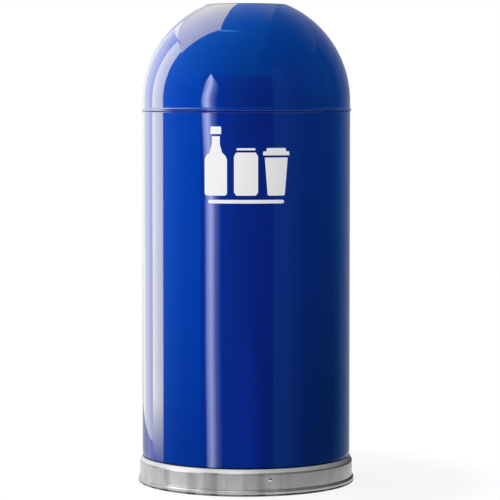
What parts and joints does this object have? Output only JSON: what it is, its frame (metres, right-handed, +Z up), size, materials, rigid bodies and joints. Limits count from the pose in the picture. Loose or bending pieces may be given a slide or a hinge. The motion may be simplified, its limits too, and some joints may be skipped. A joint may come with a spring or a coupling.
{
  "type": "dome top waste receptacle",
  "caption": "Round steel waste receptacle with a lift-off domed top, a round mouth, a galvanised foot band and a lift-out liner with a bail.",
  "frame": {"origin": "centre of the footprint on the floor", "axes": "+Z up through the mouth, -Y towards the front with the decal, +X to the right seen from the front"},
  "size_m": [0.4041, 0.4042, 0.889],
  "materials": {
    "blue_enamel": "gloss baked enamel",
    "galvanised_sheet": "satin galvanised",
    "rivet_steel": "bright zinc plated",
    "zinc_wire": "galvanised wire",
    "black_vinyl": "matt vinyl"
  },
  "bodies": {
    "root": {"body_shell": "blue_enamel", "dome_collar": "blue_enamel", "base_band": "galvanised_sheet", "base_hoop": "galvanised_sheet", "base_pan": "galvanised_sheet", "base_rivets": "rivet_steel", "floor_ring": "black_vinyl"},
    "liner": {"liner_wall": "galvanised_sheet", "liner_upper": "galvanised_sheet", "liner_bottom": "galvanised_sheet", "rim_wire": "zinc_wire", "lug_left": "galvanised_sheet", "lug_right": "galvanised_sheet", "lug_rivets": "rivet_steel"},
    "bail": {"bail": "zinc_wire"},
    "dome": {"dome": "blue_enamel"}
  },
  "joints": [
    {"name": "liner_lift", "type": "slide", "parent": "root", "child": "liner", "axis": [0, 0, 1], "range_m": [0, 0.7]},
    {"name": "bail_swing", "type": "hinge", "parent": "liner", "child": "bail", "pos_m": [0, 0, 0.64913], "axis": [-1, 0, 0], "range_deg": [0, 230]},
    {"name": "dome_lift", "type": "slide", "parent": "liner", "child": "dome", "axis": [0, 0, 1], "range_m": [0, 0.3]}
  ]
}
